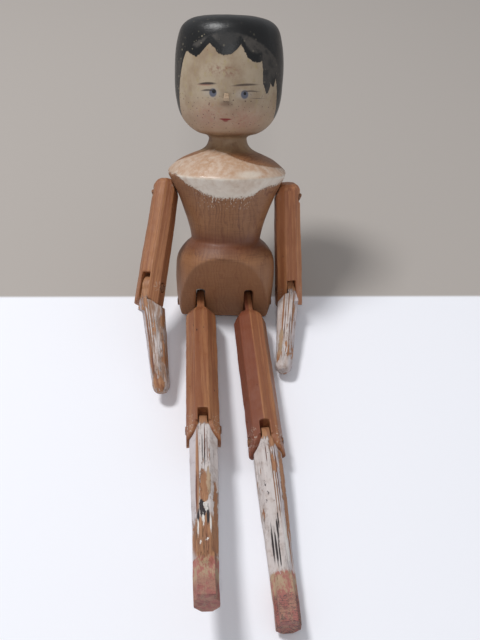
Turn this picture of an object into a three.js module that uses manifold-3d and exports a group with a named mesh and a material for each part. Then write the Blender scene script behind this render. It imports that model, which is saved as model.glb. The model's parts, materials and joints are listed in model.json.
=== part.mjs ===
// A jointed peg-wooden doll: one turned head and torso, a let-in nose, and whittled arms and legs that
// turn on wooden pegs. It sits leaning back on a flat at the hem of its hips, legs out in front.
// Millimetres, +Z up, the doll faces -Y. Its own right side is -X.
import * as THREE from "three";
import { mergeVertices } from "three/addons/utils/BufferGeometryUtils.js";
import Module from "manifold-3d";

// ---- driving dimensions ----
const GAP = 0.3; // clearance between touching and turned pieces
const RECLINE = 27; // degrees the torso leans back from upright

// The turning, measured up the torso's own axis from the flat bottom of the hips.
const HEAD_TOP_Z = 122.4;
const HEAD_MID_Z = 99;
const HEAD_R = 21.8;
const NECK_Z = 74;
const NECK_R = 7.9;
const SHOULDER_Z = 60.7;
const SHOULDER_R = 25.2;
const WAIST_Z = 33.5;
const WAIST_R = 14.5;
const HIP_WIDE_Z = 21.5;
const HIP_WIDE_R = 20.9;
const HEM_R = 18.6;

// The flats cut on the turning.
const FRONT_FLAT_HEM = 4; // how far the front flat passes ahead of the axis at the bottom
const FRONT_FLAT_TOP_Z = 28;
const FRONT_FLAT_TOP = 19.2;
const SEAT_START = 5; // how far behind the axis the seat flat begins
const SHOULDER_FLAT_X = 21.5; // the shoulder flat's distance from the axis, level with the peg
const SHOULDER_FLAT_TILT = 21.8;

// The let-in nose.
const NOSE_X = -0.4;
const NOSE_Z = 91.8;
const NOSE_WIDE = 2.4;
const NOSE_TALL = 4.4;
const NOSE_OUT = 1.8;

// Pegs and saw slots.
const PEG_R = 1.75;
const PEG_PROUD = 0.4;
const TONGUE_T = 3.1;
const SLOT_W = TONGUE_T + 2 * GAP;

// Arms.
const SHOULDER_PEG_Z = 54.8;
const ARM_OFF_FLAT = 4; // the arm's centre line from the shoulder flat, at the peg
const ARM_TILT = 25.2; // its slope away from that flat
const ARM_W = 10.6;
const ARM_LENGTH = 42.7; // peg to peg
const ARM_TOP = 3.6; // how far the arm runs past its shoulder peg
const FOREARM_W = 9.2;
const WRIST_W = 6.6;
const FOREARM_LENGTH = 45; // peg to finger tips
const FOREARM_SKEW = { left: 15, right: 18 }; // it slants inward from its tongue
const ELBOW_TURN = 13; // its saw slot is turned a little
const ARM_SWING = { left: -5, right: 30 }; // degrees forward of hanging
const ELBOW_BEND = { left: 60, right: 4 };
const ELBOW_FOLD = 90;

// Legs.
const HIP_PEG_X = { left: 9.75, right: 10.3 };
const HIP_PEG_Z = 5.5;
const HIP_PEG_AHEAD = 1;
const HIP_SLOT_TOP_Z = 13.2;
const HIP_TIP_R = 4.8;
const HIP_PARE_END = 6.8; // where the paring up to the hip tongue ends, from the peg
const THIGH_W = 12.4;
const THIGH_LENGTH = { left: 77, right: 76.5 }; // peg to peg
const SHIN_W = 10.2;
const ANKLE_W = 7.9;
const SHIN_LENGTH = { left: 69.5, right: 70 }; // peg to sole
const TOE_OUT = { left: 5.8, right: -3.8 };
const LEG_RISE = { left: 0.3, right: 4.2 }; // degrees above level
const KNEE_BEND = { left: 3.3, right: 0 };
const HIP_FLEX_MIN = -6; // a leg swings from just behind straight down
const HIP_FLEX_MAX = 95; // to just past square with the torso
const KNEE_FOLD = 100;

// A fork's cheeks end inside this radius from their peg: short beside the slot, long at the outside.
const KNEE_FORK = { inner: 4.7, outer: 9.4 };
const ELBOW_FORK = { inner: 7.2, outer: 8.6 };
const KNEE_TIP_R = 5.5; // a tongue's round end
const ELBOW_TIP_R = 4.8;
const TIP_CLEAR = 0.5; // a fork's slot runs this far past its tongue

// ---- solids ----
const wasm = await Module();
wasm.setup();
const RAD = Math.PI / 180;
const X = new THREE.Vector3(1, 0, 0);
const Z = new THREE.Vector3(0, 0, 1);
const move = (x, y, z) => new THREE.Matrix4().makeTranslation(x, y, z);
const turn = (axis, deg) => new THREE.Matrix4().makeRotationAxis(axis, deg * RAD);
const Y_TO_X = turn(Z, -90);
const Y_TO_Z = turn(X, 90);

function solid(geometry, matrix = new THREE.Matrix4()) {
  const g = geometry.clone().applyMatrix4(matrix);
  g.deleteAttribute("normal");
  g.deleteAttribute("uv");
  const m = mergeVertices(g, 1e-4);
  return new wasm.Manifold(
    new wasm.Mesh({
      numProp: 3,
      vertProperties: m.attributes.position.array,
      triVerts: new Uint32Array(m.index.array),
    }),
  );
}

const placed = (s, matrix) => s.transform(matrix.elements);

function box(x0, x1, y0, y1, z0, z1, matrix = new THREE.Matrix4()) {
  const middle = move((x0 + x1) / 2, (y0 + y1) / 2, (z0 + z1) / 2);
  return solid(new THREE.BoxGeometry(x1 - x0, y1 - y0, z1 - z0), matrix.clone().multiply(middle));
}

// A round bar along X, centred.
const barX = (r, length, sides = 24) =>
  solid(new THREE.CylinderGeometry(r, r, length, sides), Y_TO_X);

// An outline in the YZ plane, made `width` wide along X and centred.
function sideways(points, width) {
  const shape = new THREE.Shape(points.map(([y, z]) => new THREE.Vector2(y, z)));
  const g = new THREE.ExtrudeGeometry(shape, { depth: width, bevelEnabled: false });
  const flip = new THREE.Matrix4().makeBasis(
    new THREE.Vector3(0, 1, 0),
    new THREE.Vector3(0, 0, 1),
    new THREE.Vector3(1, 0, 0),
  );
  return solid(g, move(-width / 2, 0, 0).multiply(flip));
}

// A turning about Z from a list of [radius, height] that starts and ends on the axis.
function turning(points, sides = 64) {
  const outline = points.map(([r, z]) => new THREE.Vector2(r, z));
  return solid(new THREE.LatheGeometry(outline, sides), Y_TO_Z);
}

// An eight-sided bar down Z from z0 to z1, `w` across the flats, its corners whittled off.
function whittled(w0, w1, z0, z1, roll = 0) {
  const high = Math.max(z0, z1);
  const low = Math.min(z0, z1);
  const [wHigh, wLow] = z0 > z1 ? [w0, w1] : [w1, w0];
  const k = 0.5 / Math.cos(Math.PI / 8);
  const g = new THREE.CylinderGeometry(wHigh * k, wLow * k, high - low, 8);
  return solid(g, move(0, 0, (high + low) / 2).multiply(turn(Z, 22.5 + roll)).multiply(Y_TO_Z));
}

// The space a fork's cheeks keep to, as a turning about the peg.
function cheekSpace(fork, half, grow) {
  const flat = SLOT_W / 2;
  const points = [
    [0, -half],
    [fork.outer + grow, -half],
    [fork.inner + grow, -flat],
    [fork.inner + grow, flat],
    [fork.outer + grow, half],
    [0, half],
  ];
  return placed(turning(points, 48), turn(new THREE.Vector3(0, 1, 0), 90));
}

// The fork at the low end of a limb: cheeks, slot and peg hole, about the origin.
function forked(bar, width, fork, tipR) {
  const keep = box(-20, 20, -20, 20, 0, 200).add(cheekSpace(fork, width, 0));
  const slot = box(-SLOT_W / 2, SLOT_W / 2, -20, 20, -20, tipR + TIP_CLEAR);
  return bar.intersect(keep).subtract(slot).subtract(barX(PEG_R + GAP, 4 * width));
}

// The tongue at the high end of a limb, about the origin, rounded above its peg.
function tongue(tip, depth, length) {
  const round = barX(tip, TONGUE_T, 40);
  const blade = box(-TONGUE_T / 2, TONGUE_T / 2, -depth / 2, depth / 2, -length, 0);
  return round.add(blade);
}

// A limb clears everything its neighbour's envelope sweeps through as the joint turns.
function cleared(limb, envelope, from, to, step = 8) {
  const count = Math.ceil(Math.abs(to - from) / step);
  for (let i = 0; i <= count; i++) {
    const angle = from + ((to - from) * i) / count;
    limb = limb.subtract(placed(envelope, turn(X, angle)));
  }
  return limb;
}

// ---- the turned head and torso ----
const tan = (deg) => Math.tan(deg * RAD);
const torsoProfile = [
  [0, 0],
  [HEM_R, 0],
  [HEM_R + 1.3, 5],
  [HIP_WIDE_R - 0.25, 12],
  [HIP_WIDE_R, HIP_WIDE_Z],
  [HIP_WIDE_R - 0.5, HIP_WIDE_Z + 4],
  [HIP_WIDE_R - 1.9, HIP_WIDE_Z + 7],
  [WAIST_R + 2.2, WAIST_Z - 2.2],
  [WAIST_R + 0.2, WAIST_Z - 0.6],
  [WAIST_R, WAIST_Z],
  [WAIST_R + 0.9, WAIST_Z + 4.5],
  [WAIST_R + 2.4, WAIST_Z + 9.5],
  [WAIST_R + 4.6, WAIST_Z + 15.5],
  [SHOULDER_R - 3.6, SHOULDER_Z - 6],
  [SHOULDER_R - 0.5, SHOULDER_Z - 0.9],
  [SHOULDER_R, SHOULDER_Z],
  [SHOULDER_R - 0.6, SHOULDER_Z + 0.9],
  [SHOULDER_R - 5, SHOULDER_Z + 4.8],
  [NECK_R + 7.1, SHOULDER_Z + 7.5],
  [NECK_R + 3.7, SHOULDER_Z + 8.9],
  [NECK_R + 1.1, NECK_Z - 2.6],
  [NECK_R, NECK_Z],
  [NECK_R + 0.2, NECK_Z + 1.6],
  [NECK_R + 4.5, NECK_Z + 3],
  [HEAD_R - 5.2, NECK_Z + 6],
  [HEAD_R - 2.2, NECK_Z + 10.5],
  [HEAD_R - 0.5, NECK_Z + 17],
  [HEAD_R, HEAD_MID_Z],
  [HEAD_R - 0.1, HEAD_MID_Z + 7],
  [HEAD_R - 0.9, HEAD_MID_Z + 13],
  [HEAD_R - 2.5, HEAD_TOP_Z - 5],
  [HEAD_R - 5.8, HEAD_TOP_Z - 2],
  [HEAD_R - 11, HEAD_TOP_Z - 0.6],
  [0, HEAD_TOP_Z],
];

// The smooth line through the profile's points, so the turning isn't a stack of cones.
function smoothed(points, steps) {
  const curve = new THREE.CatmullRomCurve3(
    points.map(([r, z]) => new THREE.Vector3(r, z, 0)),
    false,
    "centripetal",
  );
  return curve.getPoints(steps).map((p) => [Math.max(p.x, 0), p.y]);
}

const flanks = smoothed(torsoProfile.slice(1, -1), 64);
const profile = [torsoProfile[0], ...flanks, torsoProfile.at(-1)];
const turned = turning(profile);
const floorSeatY = SEAT_START + (HEM_R - SEAT_START) / 2;

// Torso frame to world: lean back about X, then stand the seat flat on z = 0 with its middle at y = 0.
const leanBack = turn(X, -RECLINE);
const seatPoint = new THREE.Vector3(0, floorSeatY, (floorSeatY - SEAT_START) * tan(RECLINE));
const seatWorld = seatPoint.clone().applyMatrix4(leanBack);
const TORSO = move(0, -seatWorld.y, -seatWorld.z).multiply(leanBack);

// The front flat as a plane: the space ahead of it, in the torso frame.
const frontSlope = Math.atan2(FRONT_FLAT_TOP - FRONT_FLAT_HEM, FRONT_FLAT_TOP_Z) / RAD;
const aheadOfFlat = box(
  -40, 40, -60, 0, -60, 60,
  move(0, -FRONT_FLAT_HEM, 0).multiply(turn(X, frontSlope)),
);
const underSeat = box(-40, 40, -10, 60, -60, 0, move(0, SEAT_START, 0).multiply(turn(X, RECLINE)));

// Shoulder frame on the +X side: x out of the flat, z up along it.
const SHOULDER = move(SHOULDER_FLAT_X, 0, SHOULDER_PEG_Z).multiply(
  turn(new THREE.Vector3(0, 1, 0), SHOULDER_FLAT_TILT),
);
const outsideFlat = box(0, 30, -30, 30, -14, 30, SHOULDER);

// Hip frame on the +X side: x along the peg, z up the torso as near as it can be.
function hipFrame(side) {
  const toe = TOE_OUT[side] * RAD;
  const toTorso = turn(X, RECLINE);
  const axis = new THREE.Vector3(Math.cos(toe), Math.sin(toe), 0).transformDirection(toTorso);
  const up = new THREE.Vector3(0, 0, 1);
  const back = new THREE.Vector3().crossVectors(up, axis).normalize();
  up.crossVectors(axis, back).normalize();
  const basis = new THREE.Matrix4().makeBasis(axis, back, up);
  return move(HIP_PEG_X[side], -HIP_PEG_AHEAD, HIP_PEG_Z).multiply(basis);
}

const mirrored = (s, side) => (side === "left" ? s : s.mirror([1, 0, 0]));
const SHOULDER_PEG_IN = 8;
const SHOULDER_PEG_OUT = ARM_OFF_FLAT + ARM_W / 2 / Math.cos(ARM_TILT * RAD) + PEG_PROUD;

// ---- one arm and one leg, on the +X side of the torso frame ----
function buildSide(side) {
  const out = {};
  const joints = {};

  // Upper arm: an eight-sided bar with a rounded top, pared flat where it lies on the shoulder.
  const armFrame = SHOULDER.clone().multiply(turn(X, -ARM_SWING[side]));
  const axisOff = move(ARM_OFF_FLAT, 0, 0).multiply(turn(new THREE.Vector3(0, 1, 0), -ARM_TILT));
  const elbow = axisOff.clone().multiply(move(0, 0, -ARM_LENGTH)).multiply(turn(Z, ELBOW_TURN));
  const armBar = whittled(ARM_W, ARM_W * 1.04, ARM_LENGTH, -ELBOW_FORK.outer - 1);
  const armShoulder = ARM_LENGTH + ARM_TOP - 1.8;
  const armTop = whittled(ARM_W * 0.62, ARM_W, ARM_LENGTH + ARM_TOP, armShoulder);
  const blank = armBar.add(whittled(ARM_W, ARM_W, ARM_LENGTH - 0.1, armShoulder)).add(armTop);
  const upperArm = placed(forked(blank, ARM_W, ELBOW_FORK, ELBOW_TIP_R), elbow)
    .subtract(box(-30, GAP, -40, 40, -90, 40))
    .subtract(barX(PEG_R + GAP, 60));
  out.upper_arm = placed(upperArm, armFrame);
  const pegLength = SHOULDER_PEG_IN + SHOULDER_PEG_OUT;
  const pegMiddle = (SHOULDER_PEG_OUT - SHOULDER_PEG_IN) / 2;
  out.shoulder_peg = placed(barX(PEG_R, pegLength), SHOULDER.clone().multiply(move(pegMiddle, 0, 0)));
  joints.shoulder = SHOULDER;

  // Forearm and hand in one: tongue, pared shoulders, a slender bar with blunt finger tips.
  const elbowFrame = armFrame.clone().multiply(elbow);
  const forearmFrame = elbowFrame.clone().multiply(turn(X, -ELBOW_BEND[side]));
  const skew = turn(new THREE.Vector3(0, 1, 0), FOREARM_SKEW[side]);
  const wristZ = -FOREARM_LENGTH + 3;
  const bar = whittled(FOREARM_W, WRIST_W, -2, wristZ).add(
    whittled(WRIST_W, WRIST_W * 0.6, wristZ, -FOREARM_LENGTH),
  );
  const armEnvelope = box(-20, 20, -ARM_W / 2 - GAP, ARM_W / 2 + GAP, -0.3, 80);
  const forearmBody = cleared(
    placed(bar, skew).subtract(cheekSpace(ELBOW_FORK, ARM_W, GAP)),
    armEnvelope, 0, ELBOW_FOLD + 2,
  );
  const forearm = forearmBody
    .add(tongue(ELBOW_TIP_R, 2 * ELBOW_TIP_R - 0.8, ELBOW_FORK.outer + 2.4))
    .subtract(barX(PEG_R + GAP, 40));
  out.forearm = placed(forearm, forearmFrame);
  out.elbow_peg = placed(barX(PEG_R, ARM_W + 2 * PEG_PROUD), elbowFrame);
  joints.elbow = elbowFrame;

  // Thigh: tongue in the hip slot, pared shoulders, fork at the knee.
  const hip = hipFrame(side);
  const hipFlex = 90 - RECLINE + LEG_RISE[side];
  const thighFrame = hip.clone().multiply(turn(X, -hipFlex));
  const length = THIGH_LENGTH[side];
  const roll = side === "left" ? 22.5 : 0;
  const thighBlank = placed(
    forked(whittled(THIGH_W, THIGH_W, length, -KNEE_FORK.outer - 1, roll), THIGH_W, KNEE_FORK, KNEE_TIP_R),
    move(0, 0, -length),
  );
  const hipWedge = sideways(
    [
      [-FRONT_FLAT_HEM + HIP_PEG_AHEAD - GAP, -HIP_PEG_Z - GAP],
      [SEAT_START + HIP_PEG_AHEAD + GAP, -HIP_PEG_Z - GAP],
      [26, (26 - SEAT_START - HIP_PEG_AHEAD) * tan(RECLINE) - HIP_PEG_Z - GAP],
      [26, 34],
      [-FRONT_FLAT_TOP + HIP_PEG_AHEAD - GAP, FRONT_FLAT_TOP_Z - HIP_PEG_Z],
    ],
    60,
  );
  const neckFrom = -14;
  const pared = whittled(THIGH_W, SLOT_W + 1.2, neckFrom, -HIP_PARE_END, roll).add(
    whittled(THIGH_W, THIGH_W, neckFrom + 0.01, -length - 20, roll),
  );
  const thighBody = cleared(
    thighBlank.intersect(pared), hipWedge, HIP_FLEX_MIN, HIP_FLEX_MAX, 7,
  );
  const thigh = thighBody
    .add(tongue(HIP_TIP_R, THIGH_W - 2.4, 16))
    .subtract(barX(PEG_R + GAP, 40));
  out.thigh = placed(thigh, thighFrame);
  const hipPegOut = HIP_WIDE_R - 1 - HIP_PEG_X[side] + PEG_PROUD;
  const hipPegIn = 6.2;
  out.hip_peg = placed(
    barX(PEG_R, hipPegOut + hipPegIn),
    hip.clone().multiply(move((hipPegOut - hipPegIn) / 2, 0, 0)),
  );
  joints.hip = hip;

  // Lower leg and foot in one, with a flat sole and a slight toe.
  const kneeFrame = thighFrame.clone()
    .multiply(move(0, 0, -length))
    .multiply(turn(X, KNEE_BEND[side]));
  const sole = -SHIN_LENGTH[side];
  const shin = whittled(SHIN_W, ANKLE_W, -1, sole);
  const foot = sideways(
    [
      [1, sole + 16],
      [1, sole],
      [-ANKLE_W / 2 - 1.5, sole],
      [-ANKLE_W / 2 - 1.3, sole + 2.5],
      [-ANKLE_W / 2 + 0.2, sole + 16],
    ],
    ANKLE_W * 0.72,
  );
  const thighEnvelope = box(-20, 20, -THIGH_W / 2 - GAP, THIGH_W / 2 + GAP, -0.3, 80);
  const shinBody = cleared(
    shin.add(foot).subtract(cheekSpace(KNEE_FORK, THIGH_W, GAP)),
    thighEnvelope, 0, -KNEE_FOLD - 2,
  );
  const lowerLeg = shinBody
    .add(tongue(KNEE_TIP_R, 2 * KNEE_TIP_R - 1.6, 11))
    .subtract(barX(PEG_R + GAP, 40));
  out.lower_leg = placed(lowerLeg, kneeFrame);
  out.knee_peg = placed(barX(PEG_R, THIGH_W + 2 * PEG_PROUD), kneeFrame);
  joints.knee = kneeFrame;

  // What the torso gives up for this side: shoulder flat, peg holes and the saw slot.
  const slot = placed(
    box(-SLOT_W / 2, SLOT_W / 2, -60, 60, -30, HIP_SLOT_TOP_Z - HIP_PEG_Z),
    hip,
  );
  const pegBore = placed(barX(PEG_R + GAP, 2 * (hipPegIn + GAP)), hip)
    .add(placed(barX(PEG_R + GAP, 40), hip.clone().multiply(move(20, 0, 0))));
  const shoulderBore = placed(
    barX(PEG_R + GAP, 2 * (SHOULDER_PEG_IN + GAP)), SHOULDER,
  );
  out.cut = outsideFlat.add(slot).add(pegBore).add(shoulderBore);
  return { out, joints };
}

// ---- assembly ----
const object = new THREE.Group();
object.name = "jointed_wooden_doll";
object.userData.joints = {};

function addMesh(name, s, color, roughness) {
  const m = placed(s, TORSO).getMesh();
  const g = new THREE.BufferGeometry();
  g.setAttribute("position", new THREE.BufferAttribute(new Float32Array(m.vertProperties), 3));
  g.setIndex(new THREE.BufferAttribute(new Uint32Array(m.triVerts), 1));
  const mesh = new THREE.Mesh(g, new THREE.MeshStandardMaterial({ color, roughness }));
  mesh.name = name;
  object.add(mesh);
}

const PINE = 0xb8814f;
const PEG_WOOD = 0x8a5a34;
const GESSO = 0xe4d9c6;

// The nose: a small wedge, thick at the nostrils, on a tenon let into the face.
const noseHalf = NOSE_WIDE / 2;
const noseTop = NOSE_Z + NOSE_TALL * 0.62;
const noseBase = NOSE_Z - NOSE_TALL * 0.38;
const wedgeSide = sideways(
  [
    [-HEAD_R + 4, noseBase],
    [-HEAD_R + 4, noseTop],
    [-HEAD_R - GAP - 0.1, noseTop],
    [-HEAD_R - GAP - NOSE_OUT, noseBase + 1.1],
    [-HEAD_R - GAP - NOSE_OUT * 0.7, noseBase],
  ],
  NOSE_WIDE,
);
const headSkin = profile.filter(([, z]) => z > NECK_Z).map(([r, z]) => [r + GAP, z]);
const headKeepOut = turning([[0, NECK_Z], ...headSkin, [0, HEAD_TOP_Z + 1]]);
const tenonDepth = 4;
const tenon = box(
  -noseHalf + 0.5, noseHalf - 0.5,
  -HEAD_R - GAP - 0.4, -HEAD_R + tenonDepth,
  noseBase + 0.9, noseTop - 1.3,
);
const mortise = box(
  -noseHalf + 0.5 - GAP, noseHalf - 0.5 + GAP,
  -HEAD_R - 3, -HEAD_R + tenonDepth + GAP,
  noseBase + 0.9 - GAP, noseTop - 1.3 + GAP,
);
const noseAt = move(NOSE_X, 0, 0);
const nose = placed(wedgeSide, noseAt).subtract(headKeepOut).add(placed(tenon, noseAt));

let body = turned.subtract(aheadOfFlat).subtract(underSeat).subtract(placed(mortise, noseAt));
const sides = {};
for (const side of ["right", "left"]) {
  const { out, joints } = buildSide(side);
  body = body.subtract(mirrored(out.cut, side));
  delete out.cut;
  sides[side] = out;
  for (const [name, frame] of Object.entries(joints)) {
    const flip = side === "left" ? 1 : -1;
    const place = new THREE.Matrix4().makeScale(flip, 1, 1).multiply(frame);
    const world = TORSO.clone().multiply(place);
    const at = new THREE.Vector3().setFromMatrixPosition(world);
    const axis = new THREE.Vector3(1, 0, 0).transformDirection(world).multiplyScalar(flip);
    object.userData.joints[side + "_" + name] = { at: at.toArray(), axis: axis.toArray() };
  }
}
addMesh("head_torso", body, PINE, 0.55);
addMesh("nose_wedge", nose, GESSO, 0.5);
for (const side of ["right", "left"])
  for (const [name, s] of Object.entries(sides[side])) {
    const isPeg = name.endsWith("_peg");
    const isPainted = name === "forearm" || name === "lower_leg";
    const color = isPeg ? PEG_WOOD : isPainted ? GESSO : PINE;
    addMesh(side + "_" + name, mirrored(s, side), color, isPeg ? 0.7 : 0.6);
  }

export default object;
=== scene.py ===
# %% [markdown]
# # A jointed peg-wooden doll
# The doll is turned and whittled from pine: one turning for the head and body, eight whittled limb pieces,
# a let-in nose and eight pegs. This lesson models each piece by hand around the fixed frame that the joints
# define, then paints it with node materials: bare waxed pine, worn white paint, and a painted face.

import bpy
import json
import math
from mathutils import Matrix, Vector

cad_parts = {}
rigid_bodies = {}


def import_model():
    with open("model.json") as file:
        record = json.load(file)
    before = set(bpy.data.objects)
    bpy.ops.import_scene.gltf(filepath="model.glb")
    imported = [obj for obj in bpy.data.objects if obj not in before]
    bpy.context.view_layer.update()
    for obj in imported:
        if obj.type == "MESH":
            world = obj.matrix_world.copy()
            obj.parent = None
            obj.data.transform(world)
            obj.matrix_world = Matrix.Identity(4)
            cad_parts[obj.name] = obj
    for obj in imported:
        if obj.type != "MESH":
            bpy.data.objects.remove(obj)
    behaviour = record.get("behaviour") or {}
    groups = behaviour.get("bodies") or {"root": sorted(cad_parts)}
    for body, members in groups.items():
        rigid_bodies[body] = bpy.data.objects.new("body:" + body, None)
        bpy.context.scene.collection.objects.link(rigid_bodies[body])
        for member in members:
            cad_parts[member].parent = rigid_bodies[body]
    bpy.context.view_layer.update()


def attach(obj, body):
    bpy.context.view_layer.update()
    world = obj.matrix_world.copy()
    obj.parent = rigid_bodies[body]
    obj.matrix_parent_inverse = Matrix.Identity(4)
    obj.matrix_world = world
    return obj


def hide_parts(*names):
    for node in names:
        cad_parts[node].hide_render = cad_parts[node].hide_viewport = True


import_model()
MM = 0.001

# %% [markdown]
# ## The camera
# It looks down at the seated doll from the front. The lens is a short telephoto held about a forearm's
# length away, so the feet look a little larger than the head does. A slight roll leans the doll as it sits.

# %% Camera
LOOK_DOWN = 43.5
ROLL = 1.5
LENS = 46.4
CAMERA_AT = Vector((7.0, -275.6, 248.2)) * MM

camera_data = bpy.data.cameras.new("portrait_camera")
camera_data.lens = LENS
camera_data.clip_start = 0.01
camera = bpy.data.objects.new("portrait_camera", camera_data)
bpy.context.scene.collection.objects.link(camera)
tilt = Matrix.Rotation(math.radians(90 - LOOK_DOWN), 4, "X")
roll = Matrix.Rotation(math.radians(ROLL), 4, "Z")
camera.matrix_world = Matrix.Translation(CAMERA_AT) @ tilt @ roll
bpy.context.scene.camera = camera
print("camera looks down", LOOK_DOWN, "degrees")

# %% [markdown]
# ## Frames
# Each limb is easiest to carve upright at the origin, with its peg hole at zero and its length along Z.
# A matrix then carries it to its joint. The torso leans back; shoulders, hips, elbows and knees chain from
# it in the same way as on the bench, so every fit is the real one.

# %% Torso frame and driving sizes
RECLINE = 27
HEM_R = 18.6
SEAT_START = 5


def move(x, y, z):
    return Matrix.Translation((x, y, z))


def turn(axis, degrees):
    return Matrix.Rotation(math.radians(degrees), 4, axis)


seat_y = SEAT_START + (HEM_R - SEAT_START) / 2
SEAT_POINT = Vector((0, seat_y, (seat_y - SEAT_START) * math.tan(math.radians(RECLINE))))
LEAN = turn("X", -RECLINE)
TORSO = Matrix.Translation(-(LEAN @ SEAT_POINT)) @ LEAN
TO_METRES = Matrix.Scale(MM, 4)
MIRROR = Matrix.Diagonal((-1, 1, 1, 1))
print("torso origin stands at", (TORSO @ Vector((0, 0, 0))).z, "mm")

# %% Joint frames for both sides
SHOULDER_FLAT_X = 21.5
SHOULDER_PEG_Z = 54.8
SHOULDER_FLAT_TILT = 21.8
ARM_OFF_FLAT = 4
ARM_TILT = 25.2
ARM_LENGTH = 42.7
ARM_TOP = 3.6
ARM_W = 10.6
FOREARM_W = 9.2
WRIST_W = 6.6
FOREARM_LENGTH = 45
ELBOW_TURN = 13
FOREARM_SKEW = {"left": 15, "right": 18}
ARM_SWING = {"left": -5, "right": 30}
ELBOW_BEND = {"left": 60, "right": 4}
HIP_PEG = {"left": (9.75, -1, 5.5), "right": (10.3, -1, 5.5)}
THIGH_W = 12.4
THIGH_LENGTH = {"left": 77, "right": 76.5}
SHIN_W = 10.2
ANKLE_W = 7.9
SHIN_LENGTH = {"left": 69.5, "right": 70}
TOE_OUT = {"left": 5.8, "right": -3.8}
LEG_RISE = {"left": 0.3, "right": 4.2}
KNEE_BEND = {"left": 3.3, "right": 0}
PEG_R = 1.75
PEG_PROUD = 0.4
GAP = 0.3
TONGUE_T = 3.1
SLOT_W = TONGUE_T + 2 * GAP
KNEE_FORK = (4.7, 9.4)
ELBOW_FORK = (7.2, 8.6)
KNEE_TIP_R = 5.5
ELBOW_TIP_R = 4.8
TIP_CLEAR = 0.5
HIP_TIP_R = 4.8
HIP_PARE_END = 6.8
HIP_PEG_REACH = 19.9
ELBOW_SWEEP = 92
KNEE_SWEEP = -102


def side_frame(side):
    return TORSO if side == "left" else TORSO @ MIRROR


def shoulder_frame():
    return move(SHOULDER_FLAT_X, 0, SHOULDER_PEG_Z) @ turn("Y", SHOULDER_FLAT_TILT)


def arm_frame(side):
    return shoulder_frame() @ turn("X", -ARM_SWING[side])


def elbow_frame(side):
    along = move(ARM_OFF_FLAT, 0, 0) @ turn("Y", -ARM_TILT)
    return arm_frame(side) @ along @ move(0, 0, -ARM_LENGTH) @ turn("Z", ELBOW_TURN)


def forearm_frame(side):
    return elbow_frame(side) @ turn("X", -ELBOW_BEND[side])


def hip_frame(side):
    toe = math.radians(TOE_OUT[side])
    axis = turn("X", RECLINE) @ Vector((math.cos(toe), math.sin(toe), 0))
    back = Vector((0, 0, 1)).cross(axis).normalized()
    up = axis.cross(back).normalized()
    basis = Matrix((axis, back, up)).transposed().to_4x4()
    return move(*HIP_PEG[side]) @ basis


def hip_flex(side):
    return 90 - RECLINE + LEG_RISE[side]


def thigh_frame(side):
    return hip_frame(side) @ turn("X", -hip_flex(side))


def knee_frame(side):
    return thigh_frame(side) @ move(0, 0, -THIGH_LENGTH[side]) @ turn("X", KNEE_BEND[side])


for side in ("left", "right"):
    knee = side_frame(side) @ knee_frame(side) @ Vector((0, 0, 0))
    print(side, "knee at", tuple(round(v, 1) for v in knee))

# %% [markdown]
# ## A bench of hand tools
# Four small helpers follow the workshop: `turned` builds a round piece up from a disc by extruding and
# resizing its end ring, as a lathe would shape it; `whittled` draws out an eight-sided bar station by
# station; `cut_away` and `keep_inside` saw with a second solid; `seat_piece` finishes a piece, carries it
# to its joint and leaves its object at the origin.


# %% Start and select
def set_down():
    if bpy.context.mode != "OBJECT":
        bpy.ops.object.mode_set(mode="OBJECT")
    bpy.ops.object.select_all(action="DESELECT")


def take_up(piece):
    set_down()
    piece.select_set(True)
    bpy.context.view_layer.objects.active = piece


def apply_modifier(piece, kind, **settings):
    take_up(piece)
    modifier = piece.modifiers.new(kind.lower(), kind)
    for name, value in settings.items():
        setattr(modifier, name, value)
    bpy.ops.object.modifier_apply(modifier=modifier.name)


# %% Draw out a bar or a turning ring by ring
def drawn_out(name, sides, stations, spin=0.0):
    """stations: (width or radius scale, z, shift x, shift y); the ring is a circle of radius 1."""
    set_down()
    first = stations[0]
    bpy.ops.mesh.primitive_circle_add(vertices=sides, radius=1, fill_type="NGON", rotation=(0, 0, spin))
    piece = bpy.context.object
    piece.name = name
    piece.data.name = name
    bpy.ops.object.transform_apply(location=True, rotation=True, scale=True)
    bpy.ops.object.mode_set(mode="EDIT")
    bpy.ops.mesh.select_all(action="SELECT")
    bpy.ops.transform.resize(value=(first[0], first[0], 1))
    bpy.ops.transform.translate(value=(first[2], first[3], first[1]))
    size = first[0]
    at = first
    for station in stations[1:]:
        bpy.ops.mesh.extrude_region_move()
        grow = station[0] / size
        centre = (at[2], at[3], at[1])
        bpy.ops.transform.resize(value=(grow, grow, 1), center_override=centre)
        shift = (station[2] - at[2], station[3] - at[3], station[1] - at[1])
        bpy.ops.transform.translate(value=shift)
        size = station[0]
        at = station
    bpy.ops.mesh.select_all(action="SELECT")
    bpy.ops.mesh.normals_make_consistent(inside=False)
    bpy.ops.object.mode_set(mode="OBJECT")
    return piece


def turned(name, stations, sides=48):
    return drawn_out(name, sides, [(r, z, 0, 0) for r, z in stations])


def whittled(name, stations, roll=0.0):
    """stations: (width across the flats, z) or with a sideways and a front-to-back drift."""
    corner = 0.5 / math.cos(math.pi / 8)
    rings = [(s[0] * corner, s[1], *(s[2:] if len(s) > 2 else (0, 0))) for s in stations]
    return drawn_out(name, 8, rings, math.radians(22.5 + roll))


# %% Saw with a second solid
def face_out(piece):
    take_up(piece)
    bpy.ops.object.mode_set(mode="EDIT")
    bpy.ops.mesh.select_all(action="SELECT")
    bpy.ops.mesh.normals_make_consistent(inside=False)
    bpy.ops.object.mode_set(mode="OBJECT")


def place(piece, matrix):
    """Put a piece in its place for good. A mirrored piece is turned right side out again."""
    take_up(piece)
    piece.matrix_world = matrix
    bpy.ops.object.transform_apply(location=True, rotation=True, scale=True)
    if matrix.determinant() < 0:
        face_out(piece)
    return piece


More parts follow.
